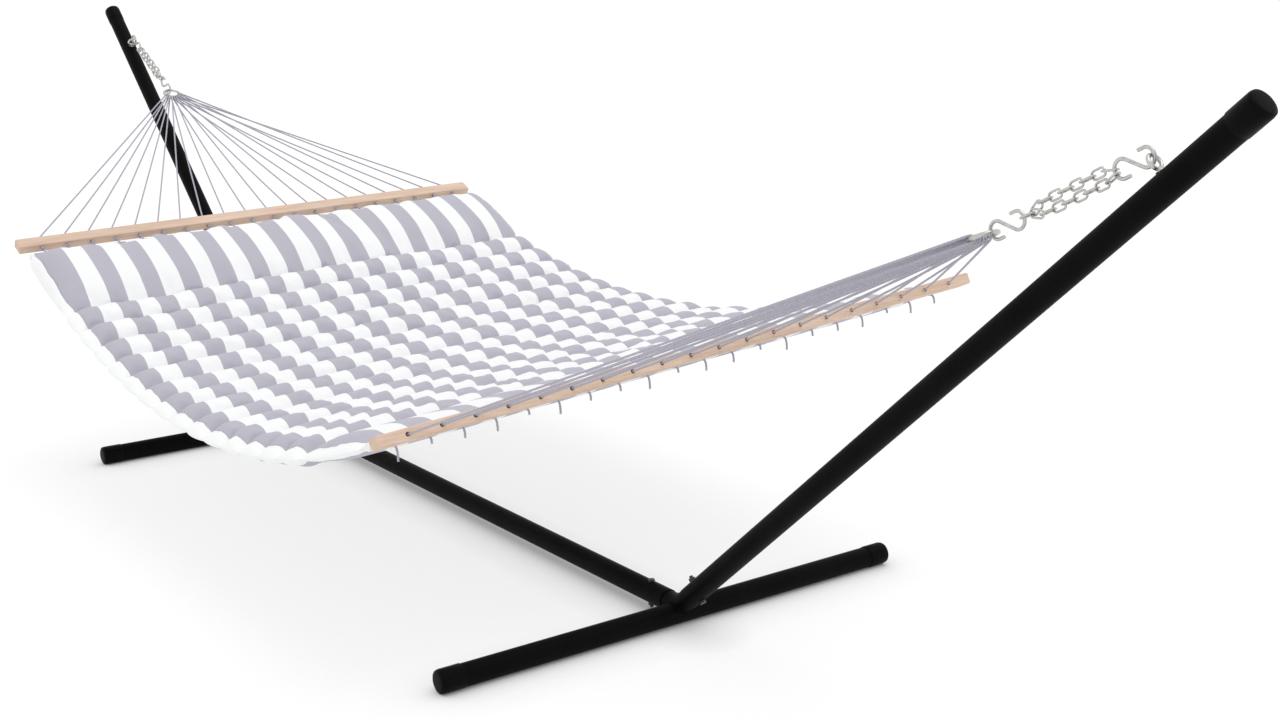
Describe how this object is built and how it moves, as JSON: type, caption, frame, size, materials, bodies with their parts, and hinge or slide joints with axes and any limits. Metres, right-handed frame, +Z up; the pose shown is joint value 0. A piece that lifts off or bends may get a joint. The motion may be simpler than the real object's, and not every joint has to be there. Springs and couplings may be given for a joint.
{
  "type": "hammock on stand",
  "caption": "Quilted striped hammock with wooden spreader bars, hung by cords, rings and chain from a black tube stand with leaning uprights; the bed swings sideways.",
  "frame": {"origin": "on the floor, under the middle of the stand", "axes": "+X along the beam towards the near upright, +Y across the bed, +Z up"},
  "size_m": [4.6086, 1.475, 1.2276],
  "materials": {
    "powder_coat": "matte black powder coat on steel tube",
    "cap_plastic": "moulded black plastic",
    "dark_bolt": "blackened steel",
    "zinc": "pale galvanised wire",
    "oak": "clear-oiled light hardwood",
    "cord": "twisted grey polyester cord",
    "stripe_fabric": "woven awning stripe in grey lavender and white",
    "white_binding": "white woven edge tape"
  },
  "bodies": {
    "stand": {"foot_near": "powder_coat", "foot_far": "powder_coat", "foot_caps_near": "cap_plastic", "foot_caps_far": "cap_plastic", "elbow_near": "powder_coat", "elbow_far": "powder_coat", "upright_near": "powder_coat", "upright_far": "powder_coat", "top_cap_near": "cap_plastic", "top_cap_far": "cap_plastic", "eye_bolt_near": "zinc", "eye_bolt_far": "zinc", "beam": "powder_coat", "beam_bolts": "dark_bolt", "beam_nuts": "dark_bolt", "upright_bolts": "dark_bolt", "upright_nuts": "dark_bolt", "eye_inserts": "zinc"},
    "hammock": {"upper_hook_near": "zinc", "upper_hook_far": "zinc", "chain_near": "zinc", "chain_far": "zinc", "lower_hook_near": "zinc", "lower_hook_far": "zinc", "ring_near": "zinc", "ring_far": "zinc", "cords_near": "cord", "cords_far": "cord", "spreader_bar_near": "oak", "spreader_bar_far": "oak", "knots_near": "cord", "knots_far": "cord", "hem_dowel_near": "oak", "hem_dowel_far": "oak", "hem_near": "stripe_fabric", "hem_far": "stripe_fabric", "quilted_pad": "stripe_fabric", "side_binding_left": "white_binding", "side_binding_right": "white_binding"}
  },
  "joints": [
    {"name": "hammock_swing", "type": "hinge", "parent": "stand", "child": "hammock", "pos_m": [0, 0, 1.11967], "axis": [1, 0, 0], "range_deg": [-25, 25]}
  ]
}
